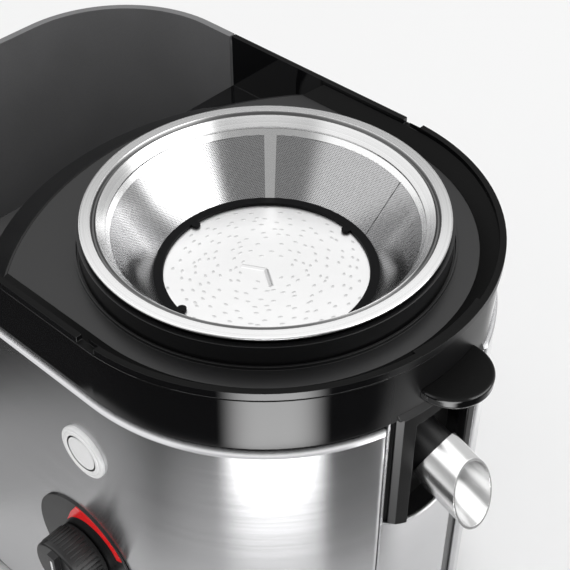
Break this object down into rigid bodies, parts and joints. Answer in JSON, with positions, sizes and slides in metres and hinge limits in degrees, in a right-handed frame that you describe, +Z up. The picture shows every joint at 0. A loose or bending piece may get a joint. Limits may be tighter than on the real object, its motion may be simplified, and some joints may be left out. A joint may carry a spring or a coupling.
{
  "type": "centrifugal juicer",
  "caption": "Centrifugal juicer with open top: spinning sieve in a black juice bowl with a steel spout, steel-clad motor base with a dial, and a pulp container at the side",
  "frame": {"origin": "on the table, under the middle of the whole outline", "axes": "+Z up, +X towards the spout, -Y towards the dial, -X towards the pulp container. The motor and sieve axis is upright at X = 0.0401, Y = 0.0091"},
  "size_m": [0.3324, 0.2294, 0.268],
  "materials": {
    "black_gloss": "polished moulded plastic",
    "black_satin": "fine satin moulded plastic",
    "black_plain": "plain moulded plastic",
    "brushed_panel": "horizontally brushed stainless steel",
    "bright_steel": "bright spun stainless steel",
    "sieve_steel": "finely perforated stainless steel",
    "grater_steel": "bright pressed stainless steel with grating teeth",
    "rubber": "moulded rubber",
    "zinc": "plated steel",
    "shaft_steel": "ground steel",
    "aluminium": "die-cast aluminium",
    "core_steel": "stacked electrical steel",
    "copper": "enamelled copper",
    "bronze": "sintered bronze",
    "carbon": "pressed carbon",
    "coupling_plastic": "glass-filled plastic",
    "board_green": "solder-masked laminate",
    "capacitor_yellow": "moulded case",
    "white_gloss": "glossy domed disc, bare",
    "red_print": "glossy printed scale",
    "smoke_plastic": "dark smoke plastic"
  },
  "bodies": {
    "base": {"rubber_feet": "rubber", "base_plate": "black_plain", "base_screws": "zinc", "motor_housing": "black_satin", "front_steel_panel": "brushed_panel", "rear_steel_panel": "brushed_panel", "spout_side_panel": "brushed_panel", "tower_bush": "bronze", "shaft_seal": "rubber", "motor_dampers": "rubber", "upper_bracket": "aluminium", "lower_bracket": "aluminium", "upper_bearing": "zinc", "lower_bearing": "zinc", "motor_bolts": "zinc", "stator_core": "core_steel", "field_coils": "copper", "brush_holders": "black_plain", "carbon_brushes": "carbon", "brush_springs": "zinc", "dial_bezel": "black_satin", "red_scale": "red_print", "rotary_switch": "black_plain", "badge_disc": "white_gloss", "control_board": "board_green", "suppressor_capacitor": "capacitor_yellow", "heat_sink": "aluminium", "cord_gland": "black_plain"},
    "rotor": {"motor_shaft": "shaft_steel", "drive_coupling": "coupling_plastic", "armature_core": "core_steel", "armature_windings": "copper", "commutator": "copper", "cooling_fan": "black_plain"},
    "bowl": {"top_collar": "black_gloss", "juice_bowl": "black_satin", "lift_tab": "black_gloss", "spout_seal": "rubber"},
    "sieve": {"sieve_rim": "bright_steel", "sieve_mesh": "sieve_steel", "sieve_hub": "black_satin", "grater_disc": "grater_steel"},
    "spout": {"spout_sleeve": "bright_steel"},
    "dial": {"dial_knob": "black_satin", "dial_shaft": "shaft_steel"},
    "pulp": {"pulp_container": "smoke_plastic"}
  },
  "joints": [
    {"name": "motor_spin", "type": "hinge", "parent": "base", "child": "rotor", "pos_m": [0.04008, 0.0091, 0.1], "axis": [0, 0, 1], "continuous": true},
    {"name": "bowl_lift", "type": "slide", "parent": "base", "child": "bowl", "axis": [0, 0, 1], "range_m": [0, 0.12]},
    {"name": "sieve_spin", "type": "hinge", "parent": "bowl", "child": "sieve", "pos_m": [0.04008, 0.0091, 0.25], "axis": [0, 0, 1], "continuous": true},
    {"name": "spout_turn", "type": "hinge", "parent": "bowl", "child": "spout", "pos_m": [0.14008, 0.0091, 0.1852], "axis": [0.9272, 0, -0.3746], "range_deg": [0, 180]},
    {"name": "dial_turn", "type": "hinge", "parent": "base", "child": "dial", "pos_m": [0.01828, -0.1009, 0.1087], "axis": [0, 1, 0], "range_deg": [0, 150]},
    {"name": "pulp_pull", "type": "slide", "parent": "base", "child": "pulp", "axis": [-1, 0, 0], "range_m": [0, 0.1]}
  ],
  "couplings": [
    {"joint": "sieve_spin", "follows": "motor_spin", "ratio": 1}
  ]
}
